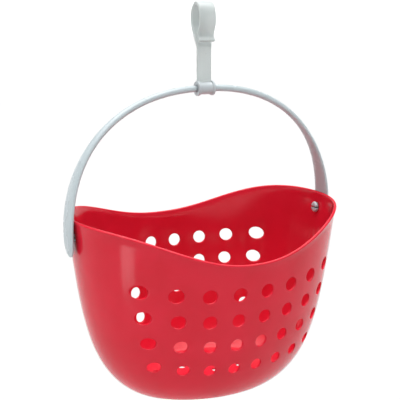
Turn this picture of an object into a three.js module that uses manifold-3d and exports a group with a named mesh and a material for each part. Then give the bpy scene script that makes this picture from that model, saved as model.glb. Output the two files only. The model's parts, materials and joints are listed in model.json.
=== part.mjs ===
// Shower caddy: an oval moulded basket hangs between the wide ends of a bail handle, and a hook clipped round
// the middle of the handle hangs the whole caddy on a rail.
// Millimetres, +Z up. X runs along the basket from pivot to pivot, and Y runs across it.
// The origin is where the rail touches the inside of the hook's loop, straight above the basket's middle.
import * as THREE from "three";
import { mergeVertices } from "three/addons/utils/BufferGeometryUtils.js";
import Module from "manifold-3d";

const wasm = await Module();
wasm.setup();

// ---- Driving dimensions ----
const BASKET = {
  endRim: 176.3, // rim height over the base at the two ends
  frontRim: 144.5, // rim height at the middle of the front
  backRim: 147.6, // rim height at the middle of the back
  rimSweep: 1.13, // over 1 keeps the low part of the rim longer
  wall: 2.4,
  pivotHeight: 160.4,
  pivotHole: 9,
};
// The wall's half-length and half-width over its height: a straight part, a flare and a bow that grow towards
// the rim, and a tuck that draws the foot in.
const END = { straight: 118.4, flare: 21.8, bow: -4.3, tuck: 40.8 };
const SIDE = { straight: 92.7, flare: 2, bow: 12.7, tuck: 36.7 };
const FOOT = { height: 30.9, sharpness: 0.861 };
const WALL_HOLES = {
  rows: 4,
  columns: 8,
  topRow: 115.9, // height of the top row over the base
  rowPitch: 25.2,
  columnPitch: 27.9,
  diameter: 13,
  rise: 5.4, // how far each row climbs towards its outermost holes, as the rim does
  narrowing: [0.036, 0.0065], // lower rows are smaller and closer by these shares of row and row squared
};
const DRAIN_HOLES = { rows: 3, columns: 4, rowPitch: 22, columnPitch: 27.9, diameter: 8 };

const HANDLE = {
  halfSpan: 138.6, // pivot to centre plane, at the middle of the flat end's thickness
  rise: 128.8, // pivots to the middle of the round bar
  fullness: 2.27, // 2 is an ellipse, and more is squarer
  endWidth: 22.6,
  endThickness: 4.8,
  endDrop: 18.5, // from the pivot down to the tip of the rounded end
  endLean: 1.4, // how far that tip leans in, as the wall below it does
  barDiameter: 6.2,
  neckDiameter: 5.2,
  neckLength: 21,
  neckShoulder: 0.6,
};
const STUD = { shank: 8, head: 11, headTip: 9, headThickness: 2.2, slit: 1.8, slitDepth: 6.5 };

const HOOK = {
  width: 16.4, // loop, lip and sleeve
  strapWidth: 14.2,
  strapThickness: 3,
  strapSetback: 1.8, // the strap's mid-plane stands this far behind the bar's axis
  band: 2.8, // thickness of the loop's band
  sleeveLength: 17,
  sleeveBody: 11.6,
  flange: 14.2,
  flangeLength: 2,
  bore: 6.2,
  slot: 4.2, // the gap that the neck snaps in through
};
// The loop, measured from the bar's axis: an upright oval, a throat under it and a lip that flares forwards.
const LOOP = {
  centre: [3.2, 64.3],
  halfDepth: 8.9, // to the middle of the band
  halfHeight: 14.3,
  throat: [-1.5, 48.8],
  lip: [-4.7, 43.6],
};

const LOOP_TOP = LOOP.centre[1] + LOOP.halfHeight;
const RAIL_TO_BAR = LOOP_TOP - HOOK.band / 2 - 1.2; // the rail sits in front of the oval's highest point

// ---- Solids ----
function solid(geometry) {
  const bare = new THREE.BufferGeometry();
  bare.setAttribute("position", geometry.getAttribute("position"));
  bare.setIndex(geometry.getIndex());
  const merged = mergeVertices(bare, 1e-3);
  const vertProperties = merged.getAttribute("position").array;
  const triVerts = new Uint32Array(merged.getIndex().array);
  return new wasm.Manifold(new wasm.Mesh({ numProp: 3, vertProperties, triVerts }));
}

function meshOf(name, body, material) {
  const { vertProperties, triVerts } = body.getMesh();
  const geometry = new THREE.BufferGeometry();
  geometry.setAttribute("position", new THREE.BufferAttribute(vertProperties, 3));
  geometry.setIndex(new THREE.BufferAttribute(triVerts, 1));
  geometry.computeVertexNormals();
  const mesh = new THREE.Mesh(geometry, material);
  mesh.name = name;
  return mesh;
}

// A cylinder or cone along an axis, given its centre.
function round(axis, r0, r1, length, x, y, z, sides = 24) {
  const geometry = new THREE.CylinderGeometry(r1, r0, length, sides);
  if (axis === "x") geometry.rotateZ(-Math.PI / 2);
  if (axis === "z") geometry.rotateX(Math.PI / 2);
  geometry.translate(x, y, z);
  return solid(geometry);
}

function block(sx, sy, sz, x, y, z) {
  const geometry = new THREE.BoxGeometry(sx, sy, sz);
  geometry.translate(x, y, z);
  return solid(geometry);
}

// A closed skin over a row of rings that each have the same number of points, with a flat cap at each end.
function loft(rings) {
  const sides = rings[0].length;
  const points = rings.flat();
  const faces = [];
  for (let i = 0; i + 1 < rings.length; i++) {
    for (let j = 0; j < sides; j++) {
      const a = i * sides + j;
      const b = i * sides + ((j + 1) % sides);
      faces.push(a, b, a + sides, b, b + sides, a + sides);
    }
  }
  const last = (rings.length - 1) * sides;
  for (let j = 1; j + 1 < sides; j++) {
    faces.push(0, j + 1, j, last, last + j, last + j + 1);
  }
  const geometry = new THREE.BufferGeometry().setFromPoints(points);
  geometry.setIndex(faces);
  return solid(geometry);
}

// ---- Basket ----
function halfSize(side, z) {
  const s = z / BASKET.endRim;
  const tuck = Math.exp(-Math.pow(Math.max(z, 0) / FOOT.height, FOOT.sharpness));
  return side.straight + side.flare * s + side.bow * s * s - side.tuck * tuck;
}

function slope(side, z) {
  const step = 0.05;
  return (halfSize(side, z + step) - halfSize(side, z)) / step;
}

function rimHeight(angle) {
  const low = Math.sin(angle) > 0 ? BASKET.backRim : BASKET.frontRim;
  const along = Math.pow(Math.abs(Math.cos(angle)), BASKET.rimSweep);
  return low + (BASKET.endRim - low) * (0.5 - 0.5 * Math.cos(Math.PI * along));
}

// A point of the wall at a height, moved in from the outside by the depth, square to the wall.
function wallPoint(angle, z, depth) {
  const [c, s] = [Math.cos(angle), Math.sin(angle)];
  const [endSlope, sideSlope] = [slope(END, z), slope(SIDE, z)];
  const [endRun, sideRun] = [Math.hypot(1, endSlope), Math.hypot(1, sideSlope)];
  const x = (halfSize(END, z) - depth / endRun) * c;
  const y = (halfSize(SIDE, z) - depth / sideRun) * s;
  const lift = c * c * (endSlope / endRun) + s * s * (sideSlope / sideRun);
  return new THREE.Vector3(x, y, z + depth * lift);
}

// The shell is a lathe turning of a cup's profile. Its points are then moved to the oval wall and the rim.
function basketShell() {
  const turns = 48;
  const levels = [0, 0.012, 0.035, 0.08, 0.15, 0.27, 0.43, 0.6, 0.8, 1];
  const rows = [{ level: 0, depth: 0, centre: true }];
  levels.forEach((level) => rows.push({ level, depth: 0 }));
  [...levels].reverse().forEach((level) => rows.push({ level, depth: BASKET.wall }));
  rows.push({ level: 0, depth: BASKET.wall, centre: true });
  const profile = rows.map((row, j) => new THREE.Vector2(row.centre ? 0 : 1, j));
  const lathe = new THREE.LatheGeometry(profile, turns);
  const position = lathe.getAttribute("position");
  for (let i = 0; i <= turns; i++) {
    const angle = ((i % turns) / turns) * 2 * Math.PI;
    rows.forEach((row, j) => {
      const p = wallPoint(angle, row.level * rimHeight(angle), row.depth);
      if (row.centre) p.set(0, 0, row.depth);
      position.setXYZ(i * rows.length + j, p.x, p.y, p.z);
    });
  }
  return solid(lathe);
}

function basketHoles() {
  const across = 2.4 * SIDE.straight;
  const cutters = [];
  for (let row = 0; row < WALL_HOLES.rows; row++) {
    const [linear, square] = WALL_HOLES.narrowing;
    const scale = 1 - linear * row - square * row * row;
    const radius = (WALL_HOLES.diameter / 2) * scale;
    const outermost = (WALL_HOLES.columns - 1) / 2;
    for (let column = 0; column < WALL_HOLES.columns; column++) {
      const place = column - outermost;
      const climb = WALL_HOLES.rise * (place / outermost) ** 2;
      const z = WALL_HOLES.topRow - WALL_HOLES.rowPitch * row + climb;
      // one cutter right across the basket opens the front wall and the back wall
      cutters.push(round("y", radius, radius, across, place * WALL_HOLES.columnPitch * scale, 0, z, 10));
    }
  }
  for (let row = 0; row < DRAIN_HOLES.rows; row++) {
    for (let column = 0; column < DRAIN_HOLES.columns; column++) {
      const x = (column - (DRAIN_HOLES.columns - 1) / 2) * DRAIN_HOLES.columnPitch;
      const y = (row - (DRAIN_HOLES.rows - 1) / 2) * DRAIN_HOLES.rowPitch;
      const radius = DRAIN_HOLES.diameter / 2;
      cutters.push(round("z", radius, radius, 4 * BASKET.wall, x, y, 0, 12));
    }
  }
  const pivot = BASKET.pivotHole / 2;
  cutters.push(round("x", pivot, pivot, 2.4 * END.straight, 0, 0, BASKET.pivotHeight));
  return cutters;
}

function basketBody() {
  return basketHoles().reduce((body, cutter) => body.subtract(cutter), basketShell());
}

// ---- Handle, drawn round the middle of its bar, with the pivots below ----
// Stations run from one rounded end, over the arch, to the other. Each holds its place in the X-Z plane and
// the width and thickness of the section there.
function archStation(angle) {
  const [c, s] = [Math.cos(angle), Math.sin(angle)];
  const x = HANDLE.halfSpan * Math.sign(c) * Math.pow(Math.abs(c), 2 / HANDLE.fullness);
  const climb = Math.pow(Math.abs(s), 2 / HANDLE.fullness);
  const spread = 0.5 + 0.5 * Math.cos(Math.PI * climb); // 1 at the pivots and 0 at the bar
  let width = HANDLE.barDiameter + (HANDLE.endWidth - HANDLE.barDiameter) * spread;
  let thickness = HANDLE.endThickness + (HANDLE.barDiameter - HANDLE.endThickness) * climb;
  if (Math.abs(x) < HANDLE.neckLength / 2) width = thickness = HANDLE.neckDiameter;
  return { x, z: HANDLE.rise * (climb - 1), width, thickness };
}

// The angle at which the arch passes a given X, found by turning its formula round.
function archAngle(x) {
  return Math.acos(Math.pow(x / HANDLE.halfSpan, HANDLE.fullness / 2));
}

function endStation(side, drop) {
  return {
    x: side * (HANDLE.halfSpan - HANDLE.endLean * drop * drop),
    z: -HANDLE.rise - HANDLE.endDrop * drop,
    width: HANDLE.endWidth * Math.sqrt(1 - drop * drop),
    thickness: HANDLE.endThickness * Math.pow(1 - drop * drop, 0.15),
  };
}

function handleStations() {
  const half = [];
  for (const turn of [84, 68, 50, 32, 15]) half.push(endStation(1, Math.sin((turn * Math.PI) / 180)));
  const shoulder = archAngle(HANDLE.neckLength / 2 + HANDLE.neckShoulder);
  const steps = 15;
  for (let i = 0; i <= steps; i++) half.push(archStation(shoulder * Math.pow(i / steps, 1.1)));
  half.push(archStation(archAngle(HANDLE.neckLength / 2 - 0.01)));
  const mirrored = half.map((station) => ({ ...station, x: -station.x })).reverse();
  return [...half, archStation(Math.PI / 2), ...mirrored];
}

function handleArch() {
  const sides = 12;
  const stations = handleStations();
  const rings = stations.map((station, i) => {
    const before = stations[Math.max(i - 1, 0)];
    const after = stations[Math.min(i + 1, stations.length - 1)];
    const along = new THREE.Vector2(after.x - before.x, after.z - before.z).normalize();
    return Array.from({ length: sides }, (_, j) => {
      const angle = ((j + 0.5) / sides) * 2 * Math.PI;
      const out = (station.thickness / 2) * Math.cos(angle);
      const across = (station.width / 2) * Math.sin(angle);
      return new THREE.Vector3(station.x + along.y * out, across, station.z - along.x * out);
    });
  });
  return loft(rings);
}

// A split stud stands on the inner face of each flat end. Its barbed head snaps through the basket's wall.
function stud(side) {
  const root = HANDLE.halfSpan - HANDLE.endThickness / 4;
  const headBack = halfSize(END, BASKET.pivotHeight - STUD.head / 2) - BASKET.wall - 0.6;
  const tip = headBack - STUD.headThickness;
  const z = -HANDLE.rise;
  const shankEnd = headBack - 1;
  const shank = round("x", STUD.shank / 2, STUD.shank / 2, root - shankEnd, (root + shankEnd) / 2, 0, z);
  const [tipRadius, backRadius] = [STUD.headTip / 2, STUD.head / 2];
  const head = round("x", tipRadius, backRadius, STUD.headThickness, (headBack + tip) / 2, 0, z);
  const slit = block(2 * STUD.slitDepth, 2 * STUD.head, STUD.slit, tip, 0, z);
  const body = shank.add(head).subtract(slit);
  return side > 0 ? body : body.mirror([1, 0, 0]);
}

function handleBody() {
  return handleArch().add(stud(1)).add(stud(-1));
}

// ---- Hook, drawn round the handle's bar ----
// The middle line of the band, seen from the end: up the strap, round the back of the loop, over the top,
// down the front to the throat and out along the lip.
function bandLine() {
  const [cy, cz] = LOOP.centre;
  const oval = (degrees) => {
    const a = (degrees * Math.PI) / 180;
    return [cy + LOOP.halfDepth * Math.cos(a), cz + LOOP.halfHeight * Math.sin(a)];
  };
  const points = [[HOOK.strapSetback, 30], [HOOK.strapSetback, 40]];
  for (let degrees = -38; degrees <= 214; degrees += 18) points.push(oval(degrees));
  points.push(LOOP.throat, LOOP.lip);
  return new THREE.CatmullRomCurve3(
    points.map(([y, z]) => new THREE.Vector3(0, y, z)),
    false,
    "centripetal",
  );
}

function hookBand() {
  const steps = 56;
  const line = bandLine();
  const rings = Array.from({ length: steps + 1 }, (_, i) => {
    const p = line.getPointAt(i / steps);
    const t = line.getTangentAt(i / steps);
    const corner = (x, side) => new THREE.Vector3(
      (x * HOOK.width) / 2,
      p.y + (side * t.z * HOOK.band) / 2,
      p.z - (side * t.y * HOOK.band) / 2,
    );
    return [corner(-1, 1), corner(-1, -1), corner(1, -1), corner(1, 1)];
  });
  return loft(rings);
}

function hookBody() {
  const strapTop = 33;
  const strap = block(HOOK.strapWidth, HOOK.strapThickness, strapTop, 0, HOOK.strapSetback, strapTop / 2);
  const radius = HOOK.sleeveBody / 2;
  let sleeve = round("x", radius, radius, HOOK.sleeveLength, 0, 0, 0);
  for (const side of [-1, 1]) {
    const x = (side * (HOOK.sleeveLength - HOOK.flangeLength)) / 2;
    sleeve = sleeve.add(round("x", HOOK.flange / 2, HOOK.flange / 2, HOOK.flangeLength, x, 0, 0));
  }
  const bore = round("x", HOOK.bore / 2, HOOK.bore / 2, 2 * HOOK.sleeveLength, 0, 0, 0);
  const slot = block(2 * HOOK.sleeveLength, HOOK.flange, HOOK.slot, 0, HOOK.flange / 2, 0);
  return hookBand().add(strap).add(sleeve).subtract(bore).subtract(slot);
}

// ---- Assembly: the hook holds the handle's bar, and the handle's studs hold the basket ----
const gloss = (color, roughness) => new THREE.MeshStandardMaterial({ color, roughness, metalness: 0 });

const caddy = new THREE.Group();
const hook = meshOf("hanging_hook", hookBody(), gloss(0xcdd4d3, 0.35));
hook.position.z = -RAIL_TO_BAR;
caddy.add(hook);

const handleGroup = new THREE.Group();
handleGroup.position.z = -RAIL_TO_BAR;
handleGroup.add(meshOf("carry_handle", handleBody(), gloss(0xc4cbd0, 0.35)));
caddy.add(handleGroup);

const basketGroup = new THREE.Group();
basketGroup.position.z = -HANDLE.rise - BASKET.pivotHeight;
basketGroup.add(meshOf("basket", basketBody(), gloss(0xcc2236, 0.25)));
handleGroup.add(basketGroup);

export default caddy;
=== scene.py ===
"""Looks of the shower caddy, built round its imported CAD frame.

The CAD nodes are replaced by finer skins of the same shapes: the rim, foot and hole edges of the basket are
rounded, its rim leans out in a slight lip, the bail handle runs smoothly from its flat ends to its round bar,
and the hook's edges are eased. All work is in metres, in the row frame. The shapes below are written in
millimetres over the basket's base, or from the bar's axis, as the CAD source has them.
"""

import json
import math

import bmesh
import bpy
import numpy as np
from mathutils import Euler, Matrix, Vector
from mathutils.geometry import delaunay_2d_cdt


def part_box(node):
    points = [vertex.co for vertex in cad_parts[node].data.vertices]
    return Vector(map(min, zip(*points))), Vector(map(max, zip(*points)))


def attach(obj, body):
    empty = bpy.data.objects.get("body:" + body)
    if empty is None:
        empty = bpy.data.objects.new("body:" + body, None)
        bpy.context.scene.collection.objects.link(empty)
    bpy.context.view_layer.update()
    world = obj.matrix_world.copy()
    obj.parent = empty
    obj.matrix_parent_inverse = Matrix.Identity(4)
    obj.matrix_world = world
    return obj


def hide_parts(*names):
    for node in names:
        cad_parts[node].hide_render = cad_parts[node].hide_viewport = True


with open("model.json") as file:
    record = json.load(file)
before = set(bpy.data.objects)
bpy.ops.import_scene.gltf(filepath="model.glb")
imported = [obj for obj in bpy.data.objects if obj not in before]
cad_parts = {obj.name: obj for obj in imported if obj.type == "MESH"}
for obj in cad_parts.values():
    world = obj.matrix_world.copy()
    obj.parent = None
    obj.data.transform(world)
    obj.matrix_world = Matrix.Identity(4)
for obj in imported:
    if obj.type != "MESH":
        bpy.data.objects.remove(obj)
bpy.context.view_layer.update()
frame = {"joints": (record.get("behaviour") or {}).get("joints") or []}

MM = 0.001
JOINTS = {joint["name"]: joint for joint in frame["joints"]}
BAR_Z = JOINTS["hook_swivel"]["pos_m"][2] / MM
PIVOT_Z = JOINTS["handle_pivot"]["pos_m"][2] / MM
BASE_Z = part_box("basket")[0].z / MM


# ---- Meshes ----
def add_mesh(name, points, faces, body, slot, material):
    """A smooth-shaded piece that rides on a body, from points in millimetres in the row frame."""
    bm = bmesh.new()
    verts = [bm.verts.new(Vector(p) * MM) for p in points]
    for face in faces:
        bm.faces.new([verts[i] for i in face])
    bmesh.ops.remove_doubles(bm, verts=bm.verts, dist=0.004 * MM)
    bmesh.ops.dissolve_degenerate(bm, edges=bm.edges, dist=0.001 * MM)
    bmesh.ops.recalc_face_normals(bm, faces=bm.faces)
    mesh = bpy.data.meshes.new(name)
    bm.to_mesh(mesh)
    bm.free()
    mesh.shade_smooth()
    mesh.materials.append(material)
    piece = bpy.data.objects.new(name, mesh)
    bpy.context.scene.collection.objects.link(piece)
    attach(piece, body)
    return piece


class Skin:
    """Points and faces gathered from several patches."""

    def __init__(self):
        self.points = []
        self.faces = []

    def add(self, points, faces):
        start = len(self.points)
        self.points.extend(np.asarray(points, float).tolist())
        self.faces.extend([[start + i for i in face] for face in faces])

    def strip(self, rings, closed=True):
        """Quads between neighbouring rings that each hold the same number of points."""
        sides = len(rings[0])
        spans = sides if closed else sides - 1
        faces = []
        for i in range(len(rings) - 1):
            for j in range(spans):
                a, b = i * sides + j, i * sides + (j + 1) % sides
                faces.append([a, b, b + sides, a + sides])
        self.add(np.concatenate(rings), faces)

    def cap(self, ring):
        """A fan from the ring's middle."""
        middle = np.mean(ring, axis=0)
        count = len(ring)
        self.add([*ring, middle], [[i, (i + 1) % count, count] for i in range(count)])


def fill(places, loops, keep):
    """Delaunay triangles over flat places. The loops are lists of place numbers that stay edges, and keep
    says from the middles of triangles which of them belong to the patch."""
    edges = [(a, b) for loop in loops for a, b in zip(loop, loop[1:] + loop[:1])]
    flat = [Vector((float(x), float(y))) for x, y in places]
    _, _, triangles, origins, _, _ = delaunay_2d_cdt(flat, edges, [], 0, 1e-6)
    source = [number[0] for number in origins]
    triangles = np.array([[source[i] for i in triangle] for triangle in triangles])
    return triangles[keep(triangles)].tolist()


# ---- Basket ----
END_RIM = 176.3
FRONT_RIM = 144.5
BACK_RIM = 147.6
RIM_SWEEP = 1.13
WALL = 2.4
PIVOT_HEIGHT = PIVOT_Z - BASE_Z
PIVOT_HOLE = 4.5
END = (118.4, 21.8, -4.3, 40.8)
SIDE = (92.7, 2.0, 12.7, 36.7)
FOOT_HEIGHT = 30.9
FOOT_SHARPNESS = 0.861
FOOT_TOP = 3.0  # below this height the wall is rounded into the base
LIP_FLARE = 1.6  # the rim's lip leans out by this much
LIP_HEIGHT = 11
LIP_BEAD = 0.6  # the lip is thicker than the wall by this much
HOLE_ROWS = 4
HOLE_PLACES = (0.5, 1.5, 2.5, 3.5)  # from the middle of the wall, in pitches
HOLE_PITCH = 27.9
HOLE_RADIUS = 6.5
HOLE_SIDES = 28
HOLE_EASE = 0.7
TOP_ROW = 115.9  # height of the top row at the middle of the wall
ROW_STEP = 25.2
ROW_CURL = 5.4  # a row's outermost hole is higher than its middle by this much
ROW_TAPER = (0.036, 0.0065)  # pitch and radius shrink by these, times the row and the row squared
DRAIN_COLUMNS = 4
DRAIN_ROWS = 3
DRAIN_PITCH = (27.9, 22.0)
DRAIN_RADIUS = 4.0
DRAIN_EASE = 0.5


def half_size(side, z):
    s = z / END_RIM
    tuck = np.exp(-((z / FOOT_HEIGHT) ** FOOT_SHARPNESS))
    return side[0] + side[1] * s + side[2] * s * s - side[3] * tuck


def lean(side, z):
    """How fast the half-size grows with height."""
    share = z / FOOT_HEIGHT
    tuck = np.exp(-(share**FOOT_SHARPNESS))
    turn = FOOT_SHARPNESS / FOOT_HEIGHT * share ** (FOOT_SHARPNESS - 1)
    return side[1] / END_RIM + 2 * side[2] * z / END_RIM**2 + side[3] * tuck * turn


def rim_height(angle):
    low = np.where(np.sin(angle) > 0, BACK_RIM, FRONT_RIM)
    along = np.abs(np.cos(angle)) ** RIM_SWEEP
    return low + (END_RIM - low) * (0.5 - 0.5 * np.cos(np.pi * along))


def lip(angle, z):
    """How far the rim's lip stands out of the plain wall, outside and inside. It doesn't lean out under the
    handle's ends."""
    near = np.clip((LIP_HEIGHT - (rim_height(angle) - z)) / LIP_HEIGHT, 0, 1)
    flare = LIP_FLARE * near * near * (1 - np.cos(angle) ** 12)
    return flare, LIP_BEAD * near * near * (3 - 2 * near) - flare


def inset(side, z, depth):
    """The half-size at a depth under the outside, and how far a point rises for each millimetre of depth."""
    slope = lean(side, z)
    run = np.hypot(1, slope)
    return half_size(side, z) - depth / run, slope / run


def wall_points(angle, z, depth):
    angle, z, depth = np.broadcast_arrays(angle, z, depth)
    c, s = np.cos(angle), np.sin(angle)
    long_half, long_rise = inset(END, z, depth)
    wide_half, wide_rise = inset(SIDE, z, depth)
    rise = depth * (c * c * long_rise + s * s * wide_rise)
    return np.stack([long_half * c, wide_half * s, z + rise], axis=-1)


def wall_places(across, height, depth, facing):
    """The angle and height on the wall's own grid of points seen square on: facing is "x" for the ends, where
    across is Y, and -1 or 1 for the front and back, where across is X."""
    z = np.array(height, float)
    for _ in range(12):
        (long_half, long_rise), (wide_half, wide_rise) = inset(END, z, depth), inset(SIDE, z, depth)
        if facing == "x":
            angle = np.arcsin(across / wide_half)
        else:
            angle = facing * np.arccos(across / long_half)
        c, s = np.cos(angle), np.sin(angle)
        z = height - depth * (c * c * long_rise + s * s * wide_rise)
    return angle, z


def wall_hole_list():
    """Holes of the right half: across, height, radius, facing."""
    holes = [(0.0, PIVOT_HEIGHT, PIVOT_HOLE, "x")]
    for row in range(HOLE_ROWS):
        scale = 1 - ROW_TAPER[0] * row - ROW_TAPER[1] * row * row
        for place in HOLE_PLACES:
            height = TOP_ROW - ROW_STEP * row + ROW_CURL * (place / HOLE_PLACES[-1]) ** 2
            for facing in (-1, 1):
                holes.append((place * HOLE_PITCH * scale, height, HOLE_RADIUS * scale, facing))
    return holes


def hole_ring(hole, extra, depth, count=HOLE_SIDES):
    across, height, radius, facing = hole
    turn = np.arange(count) / count * 2 * np.pi
    reach = radius + extra
    return wall_places(across + reach * np.cos(turn), height + reach * np.sin(turn), depth, facing)


def ease_profile(ease, thickness):
    """Extra radius and depth along a hole's edge, from the outside, through the hole, to the inside."""
    steps = [math.radians(a) for a in (0, 22.5, 45, 67.5, 90)]
    outside = [(ease * (1 - math.sin(a)), ease * (1 - math.cos(a))) for a in steps]
    inside = [(extra, thickness - depth) for extra, depth in reversed(outside)]
    return outside + inside


def basket_wall_half():
    """The right half of the wall, its hole edges included."""
    skin = Skin()
    holes = wall_hole_list()
    columns = np.linspace(-np.pi / 2, np.pi / 2, 141)
    levels = np.concatenate([np.linspace(0, 0.95, 57) ** 1.25, np.linspace(0.95, 1, 10)])

    def rounding(angle):
        outer, inner = lip(angle, rim_height(angle))
        return (WALL + outer + inner) / 2

    for depth in (0.0, WALL):
        angle, level = [a.ravel() for a in np.meshgrid(columns, levels)]
        z = FOOT_TOP + level * (rim_height(angle) - rounding(angle) - FOOT_TOP)
        edge = (np.abs(angle) > 1.5707) | (level == 0) | (level == 1)
        points = wall_points(angle, z, depth)
        free = np.ones(len(points), bool)
        for across, height, radius, facing in holes:
            side = points[:, 0] > 0 if facing == "x" else points[:, 1] * facing > 0
            seen = points[:, 1] if facing == "x" else points[:, 0]
            near = np.hypot(seen - across, points[:, 2] - height) < radius + HOLE_EASE + 3.0
            free &= ~(near & side) | edge
        angle, z = angle[free], z[free]
        loops = []
        for hole in holes:
            for extra in (0, 0.7, 2.0):
                ring_angle, ring_z = hole_ring(hole, HOLE_EASE + extra, depth)
                if extra == 0:
                    loops.append(list(range(len(angle), len(angle) + len(ring_angle))))
                angle = np.concatenate([angle, ring_angle])
                z = np.concatenate([z, ring_z])
        outer, inner = lip(angle, z)
        points = wall_points(angle, z, depth + (inner if depth else -outer))
        points[np.abs(np.abs(angle) - np.pi / 2) < 1e-6, 0] = 0

        def keep(triangles):
            middle = points[triangles].mean(axis=1)
            inside = np.zeros(len(middle), bool)
            for across, height, radius, facing in holes:
                side = middle[:, 0] > 0 if facing == "x" else middle[:, 1] * facing > 0
                seen = middle[:, 1] if facing == "x" else middle[:, 0]
                inside |= side & (np.hypot(seen - across, middle[:, 2] - height) < radius + HOLE_EASE - 0.05)
            return ~inside

        share = (z - FOOT_TOP) / (rim_height(angle) - rounding(angle) - FOOT_TOP)
        skin.add(points, fill(np.stack([angle * 115, share * 160], axis=1), loops, keep))
    for hole in holes:
        rings = []
        for extra, depth in ease_profile(HOLE_EASE, WALL):
            angle, z = hole_ring(hole, extra, depth)
            rings.append(wall_points(angle, z, depth))
        skin.strip(rings)
    rim = []
    radius = rounding(columns)
    outer, inner = lip(columns, rim_height(columns))
    for degrees in np.linspace(0, 180, 15):
        a = math.radians(degrees)
        z = rim_height(columns) - radius * (1 - math.sin(a))
        rim.append(wall_points(columns, z, radius * (1 - math.cos(a)) - outer))
    for ring in rim:
        ring[[0, -1], 0] = 0
    skin.strip(rim, closed=False)
    return skin, columns


def foot_rings(columns, depth):
    """The wall's rounding into the base, down to the flat."""
    top = wall_points(columns, FOOT_TOP, depth)
    above = wall_points(columns, FOOT_TOP + 0.05, depth)
    down = top - above
    reach = (top[:, 2] - depth) / -down[:, 2]
    corner = top + down * reach[:, None]
    inward = -corner * [1, 1, 0]
    inward /= np.linalg.norm(inward, axis=1)[:, None]
    flat = corner + inward * np.linalg.norm(corner - top, axis=1)[:, None]
    rings = []
    for t in np.linspace(0, 1, 9):
        rings.append((1 - t) ** 2 * top + 2 * t * (1 - t) * corner + t * t * flat)
    for ring in rings:
        ring[[0, -1], 0] = 0
    return rings


def basket_base(outline_rings):
    """The flat of the base and of the floor over it, round the drain holes, over the whole oval."""
    skin = Skin()
    columns = [DRAIN_PITCH[0] * (i - (DRAIN_COLUMNS - 1) / 2) for i in range(DRAIN_COLUMNS)]
    rows = [DRAIN_PITCH[1] * (j - (DRAIN_ROWS - 1) / 2) for j in range(DRAIN_ROWS)]
    drains = [(x, y, DRAIN_RADIUS) for x in columns for y in rows]
    turn = np.arange(HOLE_SIDES) / HOLE_SIDES * 2 * np.pi
    for outline, level in outline_rings:
        places = [outline[:, :2] * share for share in (1, 0.985, 0.95)]
        grid = np.meshgrid(np.arange(-78, 79, 6.0), np.arange(-57, 58, 6.0))
        spread = np.stack(grid, axis=-1).reshape(-1, 2)
        reach = np.hypot(spread[:, 0] / outline[:, 0].max(), spread[:, 1] / outline[:, 1].max())
        spread = spread[reach < 0.92]
        for x, y, radius in drains:
            spread = spread[np.hypot(spread[:, 0] - x, spread[:, 1] - y) > radius + 3.2]
        places.append(spread)
        count = sum(len(p) for p in places)
        loops = [list(range(len(outline)))]
        for x, y, radius in drains:
            for extra in (0, 0.6, 1.8):
                if extra == 0:
                    loops.append(list(range(count, count + len(turn))))
                size = radius + DRAIN_EASE + extra
                places.append(np.stack([x + size * np.cos(turn), y + size * np.sin(turn)], axis=1))
                count += len(turn)
        places = np.concatenate(places)

        def keep(triangles):
            middle = places[triangles].mean(axis=1)
            inside = np.zeros(len(middle), bool)
            for x, y, radius in drains:
                inside |= np.hypot(middle[:, 0] - x, middle[:, 1] - y) < radius + DRAIN_EASE - 0.05
            return ~inside

        flat = np.column_stack([places, np.full(len(places), level)])
        skin.add(flat, fill(places, loops, keep))
    for x, y, radius in drains:
        rings = []
        for extra, depth in ease_profile(DRAIN_EASE, WALL):
            size = radius + extra
            ring = [x + size * np.cos(turn), y + size * np.sin(turn), np.full(len(turn), depth)]
            rings.append(np.stack(ring, axis=1))
        skin.strip(rings)
    return skin


def basket_skin():
    half, columns = basket_wall_half()
    outlines = []
    for depth in (0.0, WALL):
        rings = foot_rings(columns, depth)
        half.strip(rings, closed=False)
        right = rings[-1]
        left = right[::-1] * [-1, 1, 1]
        outlines.append((np.concatenate([right, left[1:-1]]), depth))
    whole = Skin()
    whole.add(half.points, half.faces)
    whole.add(np.array(half.points) * [-1, 1, 1], [face[::-1] for face in half.faces])
    base = basket_base(outlines)
    whole.add(base.points, base.faces)
    return np.array(whole.points) + [0, 0, BASE_Z], whole.faces


# ---- Handle ----
HALF_SPAN = 138.6
RISE = BAR_Z - PIVOT_Z
FULLNESS = 2.27
END_WIDTH = 22.6
END_THICKNESS = 4.8
END_DROP = 18.5
END_LEAN = 1.4
BAR = 6.2
NECK = 5.2
NECK_HALF_LENGTH = 10.5
STUD_SHANK = 4.0
STUD_HEAD = 5.5
STUD_TIP = 4.5
STUD_HEAD_LENGTH = 2.2
STUD_SLIT = 1.8


def section(width, thickness, squareness, sides=40):
    """Points of a flattened round section: across the handle, and out from its middle line."""
    turn = (np.arange(sides) + 0.5) / sides * 2 * np.pi
    power = 2 / squareness
    c, s = np.cos(turn), np.sin(turn)
    out = thickness / 2 * np.sign(c) * np.abs(c) ** power
    across = width / 2 * np.sign(s) * np.abs(s) ** power
    return across, out


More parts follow.
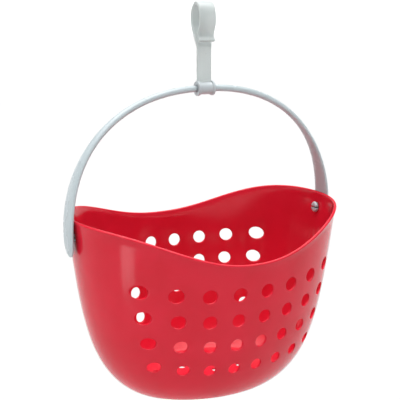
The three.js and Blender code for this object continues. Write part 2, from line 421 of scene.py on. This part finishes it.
def handle_stations():
    """Place in the X-Z plane, width, thickness and squareness along half the handle, from tip to bar."""
    rows = []
    for turn in np.radians([89.5, 87, 83, 78, 72, 65, 57, 49, 41, 33, 25, 17, 9]):
        drop = math.sin(turn)
        rest = math.cos(turn) ** 2
        x = HALF_SPAN - END_LEAN * drop * drop
        rows.append((x, PIVOT_Z - END_DROP * drop, END_WIDTH * rest**0.5, END_THICKNESS * rest**0.22, 2.5))
    for angle in np.linspace(0, 1, 90) ** 1.15 * math.pi / 2:
        c, s = math.cos(angle), math.sin(angle)
        x = HALF_SPAN * max(c, 0) ** (2 / FULLNESS)
        if x < NECK_HALF_LENGTH + 0.8:
            break
        climb = s ** (2 / FULLNESS)
        spread = 0.5 + 0.5 * math.cos(math.pi * climb)
        width = BAR + (END_WIDTH - BAR) * spread
        thickness = END_THICKNESS + (BAR - END_THICKNESS) * climb
        rows.append((x, PIVOT_Z + RISE * climb, width, thickness, 2 + 0.5 * spread))
    for past, size in ((0.5, BAR), (0.15, BAR - 0.3), (0, NECK)):
        x = NECK_HALF_LENGTH + past
        climb = (1 - (x / HALF_SPAN) ** FULLNESS) ** (1 / FULLNESS)
        rows.append((x, PIVOT_Z + RISE * climb, size, size, 2))
    rows.extend([(x, BAR_Z, NECK, NECK, 2) for x in (6, 3, 1)])
    return rows


def handle_skin():
    half = handle_stations()
    rows = half + [(-x, *rest) for x, *rest in reversed(half)]
    rings = []
    for i, (x, z, width, thickness, squareness) in enumerate(rows):
        before, after = rows[max(i - 1, 0)], rows[min(i + 1, len(rows) - 1)]
        along = np.array([after[0] - before[0], after[1] - before[1]])
        along /= np.linalg.norm(along)
        across, out = section(width, thickness, squareness)
        rings.append(np.stack([x + along[1] * out, across, z - along[0] * out], axis=1))
    skin = Skin()
    skin.strip(rings)
    skin.cap(rings[0])
    skin.cap(rings[-1])
    return skin


def half_round(x, radius, side, count=22):
    """A ring round half a stud at X and back along its slit. Side is 1 above the slit and -1 below."""
    start = math.asin(min(STUD_SLIT / 2 / radius, 1))
    turn = np.linspace(start, math.pi - start, count)
    return np.stack([np.full(count, x), radius * np.cos(turn), side * radius * np.sin(turn)], axis=1)


def stud_skin(side):
    """The split snap stud of one end: two half-round legs with a barbed head inside the wall."""
    root = HALF_SPAN - END_THICKNESS / 4
    back = half_size(END, PIVOT_HEIGHT - STUD_HEAD) - WALL - 0.6
    tip = back - STUD_HEAD_LENGTH
    profile = [
        (root, STUD_SHANK), (back, STUD_SHANK), (back, STUD_HEAD - 0.25), (back - 0.12, STUD_HEAD - 0.07),
        (back - 0.35, STUD_HEAD), (back - 0.6, STUD_HEAD - 0.05), (tip + 0.5, STUD_TIP + 0.2),
        (tip + 0.2, STUD_TIP), (tip + 0.05, STUD_TIP - 0.25), (tip, STUD_TIP - 0.6),
        (tip - 0.05, 2.6), (tip - 0.1, 1.4),
    ]
    skin = Skin()
    for leg in (1, -1):
        rings = [half_round(x, radius, leg) for x, radius in profile]
        skin.strip(rings)
        skin.cap(rings[0])
        skin.cap(rings[-1])
    return np.array(skin.points) * [side, 1, 1] + [0, 0, PIVOT_Z], skin.faces


# ---- Hook ----
HOOK_WIDTH = 16.4
STRAP_WIDTH = 14.2
STRAP_THICKNESS = 3.0
STRAP_SETBACK = 1.8
BAND = 2.8
SLEEVE_LENGTH = 17.0
SLEEVE_BODY = 5.8
FLANGE = 7.1
FLANGE_LENGTH = 2.0
BORE = 3.1
SLOT = 2.1
LOOP_CENTRE = (3.2, 64.3)
LOOP_HALF_DEPTH = 8.9
LOOP_HALF_HEIGHT = 14.3
THROAT = (-1.5, 48.8)
LIP = (-4.7, 43.6)


def smooth_line(points, steps):
    """A centripetal Catmull-Rom line through the points."""
    points = np.array(points, float)
    points = np.concatenate([[2 * points[0] - points[1]], points, [2 * points[-1] - points[-2]]])
    line = []
    for p0, p1, p2, p3 in zip(points, points[1:], points[2:], points[3:]):
        gaps = [math.sqrt(np.linalg.norm(b - a)) for a, b in ((p0, p1), (p1, p2), (p2, p3))]
        t1, t2, t3 = gaps[0], gaps[0] + gaps[1], sum(gaps)
        for t in t1 + (t2 - t1) * np.arange(steps) / steps:
            a1 = (t1 - t) / t1 * p0 + t / t1 * p1
            a2 = (t2 - t) / (t2 - t1) * p1 + (t - t1) / (t2 - t1) * p2
            a3 = (t3 - t) / (t3 - t2) * p2 + (t - t2) / (t3 - t2) * p3
            b1 = (t2 - t) / t2 * a1 + t / t2 * a2
            b2 = (t3 - t) / (t3 - t1) * a2 + (t - t1) / (t3 - t1) * a3
            line.append((t2 - t) / (t2 - t1) * b1 + (t - t1) / (t2 - t1) * b2)
    line.append(points[-2])
    return np.array(line)


def soft_box(width, thickness, ease, corner=5):
    """A rectangular section with rounded edges: across, and out from the middle line."""
    places = []
    for cx, cy, start in ((1, 1, 0), (-1, 1, 90), (-1, -1, 180), (1, -1, 270)):
        for a in np.radians(start + np.linspace(0, 90, corner)):
            x = cx * (width / 2 - ease) + ease * math.cos(a)
            y = cy * (thickness / 2 - ease) + ease * math.sin(a)
            places.append((x, y))
    return np.array(places)


def band_skin():
    """Strap and loop in one band: up from the sleeve, round the loop, and down to the lip."""
    centre, half = np.array(LOOP_CENTRE), np.array([LOOP_HALF_DEPTH, LOOP_HALF_HEIGHT])
    turns = np.radians(np.arange(-38, 215, 12.6))
    oval = [centre + half * [math.cos(a), math.sin(a)] for a in turns]
    strap = [(STRAP_SETBACK, z) for z in (2, 8, 16, 24, 33, 40)]
    line = smooth_line([*strap, *oval, THROAT, LIP], 8)
    lengths = np.concatenate([[0], np.cumsum(np.linalg.norm(np.diff(line, axis=0), axis=1))])
    total = lengths[-1]
    rings = []
    for i, (y, z) in enumerate(line):
        before, after = line[max(i - 1, 0)], line[min(i + 1, len(line) - 1)]
        along = (after - before) / np.linalg.norm(after - before)
        widen = np.clip((lengths[i] - 34) / 9, 0, 1)
        widen = widen * widen * (3 - 2 * widen)
        width = STRAP_WIDTH + (HOOK_WIDTH - STRAP_WIDTH) * widen
        thickness = STRAP_THICKNESS + (BAND - STRAP_THICKNESS) * widen
        flare = max(0.0, 1 - max(lengths[i] - 4.2, 0) / 2.0)
        thickness += 2.0 * flare * flare
        ending = min((total - lengths[i]) / 0.6, 1)
        shrink = 0.6 * (1 - math.sqrt(max(1 - (1 - ending) ** 2, 0)))
        x, out = soft_box(width - 2 * shrink, thickness - 2 * shrink, 0.62 - shrink * 0.5).T
        rings.append(np.stack([x, y + out * along[1], z - out * along[0]], axis=1))
    skin = Skin()
    skin.strip(rings)
    skin.cap(rings[0])
    skin.cap(rings[-1])
    return np.array(skin.points) + [0, 0, BAR_Z], skin.faces


def arc(cx, cr, radius, start, stop, count=5):
    turn = np.radians(np.linspace(start, stop, count))
    return [(cx + radius * math.cos(a), cr + radius * math.sin(a)) for a in turn]


def sleeve_skin():
    """The split sleeve that clips round the handle's neck, with a flange at each end."""
    end, inner = SLEEVE_LENGTH / 2, SLEEVE_LENGTH / 2 - FLANGE_LENGTH
    half = [(end, BORE + 0.3)]
    half += arc(end - 0.4, FLANGE - 0.4, 0.4, 0, 90)
    half += arc(inner + 0.3, FLANGE - 0.3, 0.3, 90, 180)
    half += arc(inner - 0.6, SLEEVE_BODY + 0.6, 0.6, 0, -90)
    outer = half + [(-x, r) for x, r in reversed(half)]
    profile = np.array([(-end + 0.3, BORE), (-3, BORE), (3, BORE), (end - 0.3, BORE), *outer])
    rings = []
    for share in np.linspace(0, 1, 73):
        x, radius = profile[:, 0], profile[:, 1]
        start = np.arcsin(SLOT / radius)
        turn = start + (2 * np.pi - 2 * start) * share
        rings.append(np.stack([x, radius * np.cos(turn), radius * np.sin(turn)], axis=1))
    skin = Skin()
    skin.strip(rings)
    count = len(profile)
    skin.add(rings[0], [list(range(count))])
    skin.add(rings[-1], [list(range(count))])
    return np.array(skin.points) + [0, 0, BAR_Z], skin.faces


# ---- Moulded plastics ----
def moulded(name, colour, deep, roughness, grain_depth):
    """Glossy moulded plastic: cloudy pigment, an uneven polish, faint orange peel and fine scuffs."""
    material = bpy.data.materials.new(name)
    material.use_nodes = True
    nodes, links = material.node_tree.nodes, material.node_tree.links
    shader = nodes["Principled BSDF"]
    place = nodes.new("ShaderNodeTexCoord").outputs["Object"]

    def noise(scale, detail, distortion=0.0, stretch=None):
        node = nodes.new("ShaderNodeTexNoise")
        node.inputs["Scale"].default_value = scale
        node.inputs["Detail"].default_value = detail
        node.inputs["Distortion"].default_value = distortion
        if stretch:
            mapping = nodes.new("ShaderNodeMapping")
            mapping.inputs["Scale"].default_value = stretch
            links.new(place, mapping.inputs["Vector"])
            links.new(mapping.outputs["Vector"], node.inputs["Vector"])
        else:
            links.new(place, node.inputs["Vector"])
        return node.outputs["Fac"]

    def spread(value, low, high, to_low, to_high):
        node = nodes.new("ShaderNodeMapRange")
        node.inputs["From Min"].default_value = low
        node.inputs["From Max"].default_value = high
        node.inputs["To Min"].default_value = to_low
        node.inputs["To Max"].default_value = to_high
        links.new(value, node.inputs["Value"])
        return node.outputs["Result"]

    def mix(share, first, second):
        node = nodes.new("ShaderNodeMix")
        node.data_type = "RGBA"
        links.new(share, node.inputs["Factor"])
        for socket, value in ((node.inputs[6], first), (node.inputs[7], second)):
            if isinstance(value, tuple):
                socket.default_value = (*value, 1)
            else:
                links.new(value, socket)
        return node.outputs[2]

    def plus(first, second):
        node = nodes.new("ShaderNodeMath")
        node.operation = "ADD"
        links.new(first, node.inputs[0])
        links.new(second, node.inputs[1])
        return node.outputs[0]

    clouds = spread(noise(26, 3, 0.6), 0.35, 0.65, 0, 1)
    flow = spread(noise(40, 2, 0.2, (1, 1, 0.12)), 0.3, 0.7, 0, 0.45)
    base = mix(clouds, colour, deep)
    tinted = mix(flow, base, tuple(0.5 * (a + b) * 1.04 for a, b in zip(colour, deep)))
    links.new(tinted, shader.inputs["Base Color"])
    polish = spread(noise(55, 4), 0.3, 0.7, roughness - 0.035, roughness + 0.045)
    scuffs = spread(noise(900, 2, 1.2, (1, 1, 0.08)), 0.66, 0.78, 0, 0.07)
    links.new(plus(polish, scuffs), shader.inputs["Roughness"])
    peel = noise(320, 2)
    fine = nodes.new("ShaderNodeBump")
    fine.inputs["Strength"].default_value = 0.35
    fine.inputs["Distance"].default_value = grain_depth
    links.new(peel, fine.inputs["Height"])
    links.new(fine.outputs["Normal"], shader.inputs["Normal"])
    shader.inputs["IOR"].default_value = 1.49
    return material


red = moulded("basket_red_plastic", (0.615, 0.011, 0.031), (0.565, 0.009, 0.025), 0.13, 0.00003)
red.node_tree.nodes["Principled BSDF"].inputs["Specular IOR Level"].default_value = 0.28
grey = moulded("handle_grey_plastic", (0.43, 0.49, 0.51), (0.405, 0.462, 0.485), 0.26, 0.00003)
pale = moulded("hook_pale_plastic", (0.67, 0.72, 0.712), (0.635, 0.683, 0.676), 0.3, 0.00003)
pale.node_tree.nodes["Principled BSDF"].inputs["Transmission Weight"].default_value = 0.45
# Painted shade: the sleeve is moulded in one piece with the band, and this darker copy of the band's pale
# plastic stands in for the shade the sleeve lies in
clip = moulded("hook_sleeve_painted_shade", (0.43, 0.47, 0.49), (0.405, 0.445, 0.465), 0.3, 0.00003)

basket = add_mesh("basket_skin", *basket_skin(), "basket", "basket", red)
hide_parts("basket")
arch = handle_skin()
handle = add_mesh("handle_arch", arch.points, arch.faces, "handle", "handle", grey)
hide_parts("carry_handle")
for side, label in ((1, "right"), (-1, "left")):
    add_mesh(f"snap_stud_{label}", *stud_skin(side), "handle", "handle", grey)
band = add_mesh("hook_band", *band_skin(), "hook", "hook", pale)
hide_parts("hanging_hook")
# The sleeve wears the darker copy of the band's plastic, which is painted shade
add_mesh("hook_sleeve", *sleeve_skin(), "hook", "hook", clip)


# ---- Studio ----
def floor_disc(radius, height):
    """A wide pale floor that curves up at its far edge."""
    rings = []
    flat = [(reach, 0) for reach in (0.02, 0.5, 1, 2, 4, 8, 12, radius)]
    edge = [(radius + 2.5 * math.sin(a), 4.5 * (1 - math.cos(a))) for a in np.radians(range(10, 91, 10))]
    turn = np.arange(96) / 96 * 2 * np.pi
    for reach, lift in flat + edge:
        level = np.full(96, height + lift)
        rings.append(np.stack([reach * np.cos(turn), reach * np.sin(turn), level], axis=1))
    skin = Skin()
    skin.strip(rings)
    skin.cap(rings[0])
    mesh = bpy.data.meshes.new("studio_floor")
    mesh.from_pydata(skin.points, [], skin.faces)
    mesh.shade_smooth()
    floor = bpy.data.objects.new("studio_floor", mesh)
    bpy.context.scene.collection.objects.link(floor)
    material = bpy.data.materials.new("studio_white")
    material.use_nodes = True
    nodes, links = material.node_tree.nodes, material.node_tree.links
    shader = nodes["Principled BSDF"]
    away = nodes.new("ShaderNodeVectorMath")
    away.operation = "LENGTH"
    links.new(nodes.new("ShaderNodeTexCoord").outputs["Object"], away.inputs[0])
    # Painted shade on the floor: it is a little darker within 0.3 m of its middle, under the basket, and
    # lightens out to 0.9 m
    painted_floor_shade = nodes.new("ShaderNodeMapRange")
    painted_floor_shade.interpolation_type = "SMOOTHSTEP"
    painted_floor_shade.inputs["From Min"].default_value = 0.3
    painted_floor_shade.inputs["From Max"].default_value = 0.9
    painted_floor_shade.inputs["To Min"].default_value = 0.48
    painted_floor_shade.inputs["To Max"].default_value = 0.5
    links.new(away.outputs["Value"], painted_floor_shade.inputs["Value"])
    edge_tone = nodes.new("ShaderNodeMapRange")
    edge_tone.inputs["From Min"].default_value = 13
    edge_tone.inputs["From Max"].default_value = 20
    edge_tone.inputs["To Max"].default_value = 0.4
    links.new(away.outputs["Value"], edge_tone.inputs["Value"])
    whole = nodes.new("ShaderNodeMath")
    whole.operation = "ADD"
    links.new(painted_floor_shade.outputs["Result"], whole.inputs[0])
    links.new(edge_tone.outputs["Result"], whole.inputs[1])
    links.new(whole.outputs["Value"], shader.inputs["Base Color"])
    shader.inputs["Roughness"].default_value = 0.9
    shader.inputs["Specular IOR Level"].default_value = 0.1
    mesh.materials.append(material)


def softbox(name, place, aim, size, power):
    light = bpy.data.lights.new(name, "AREA")
    light.shape = "RECTANGLE"
    light.size, light.size_y = size
    light.energy = power
    lamp = bpy.data.objects.new(name, light)
    lamp.location = place
    lamp.visible_camera = False
    lamp.rotation_euler = (Vector(aim) - Vector(place)).to_track_quat("-Z", "Y").to_euler()
    bpy.context.scene.collection.objects.link(lamp)


FLOOR_RADIUS = 17  # metres
FLOOR_DROP = 260  # the floor lies this far under the basket, which hangs
floor_disc(FLOOR_RADIUS, (BASE_Z - FLOOR_DROP) * MM)
world = bpy.data.worlds.new("studio")
bpy.context.scene.world = world
world.use_nodes = True
sky, sky_links = world.node_tree.nodes, world.node_tree.links
rise = sky.new("ShaderNodeSeparateXYZ")
sky_links.new(sky.new("ShaderNodeTexCoord").outputs["Generated"], rise.inputs["Vector"])
glow = sky.new("ShaderNodeMapRange")
glow.interpolation_type = "SMOOTHSTEP"
glow.inputs["From Min"].default_value = 0.62
glow.inputs["From Max"].default_value = 0.95
glow.inputs["To Min"].default_value = 0.18
glow.inputs["To Max"].default_value = 5.0
sky_links.new(rise.outputs["Z"], glow.inputs["Value"])
sky_links.new(glow.outputs["Result"], sky["Background"].inputs["Strength"])
sky["Background"].inputs["Color"].default_value = (1, 1, 1, 1)
softbox("strip_softbox", (-0.72, -0.255, -0.45), (-0.1, -0.06, -0.22), (0.16, 0.34), 0.5)

# ---- Camera, where the photograph was taken from ----
lens = bpy.data.cameras.new("photo_camera")
lens.sensor_width = 36
lens.lens = 80.6
camera = bpy.data.objects.new("photo_camera", lens)
camera.location = (-0.3940, -0.7492, 0.0109)
camera.rotation_euler = Euler((math.radians(90 - 12.98), math.radians(-0.16), math.radians(-27.43)), "XYZ")
bpy.context.scene.collection.objects.link(camera)
bpy.context.scene.camera = camera
bpy.context.scene.view_settings.view_transform = "Standard"
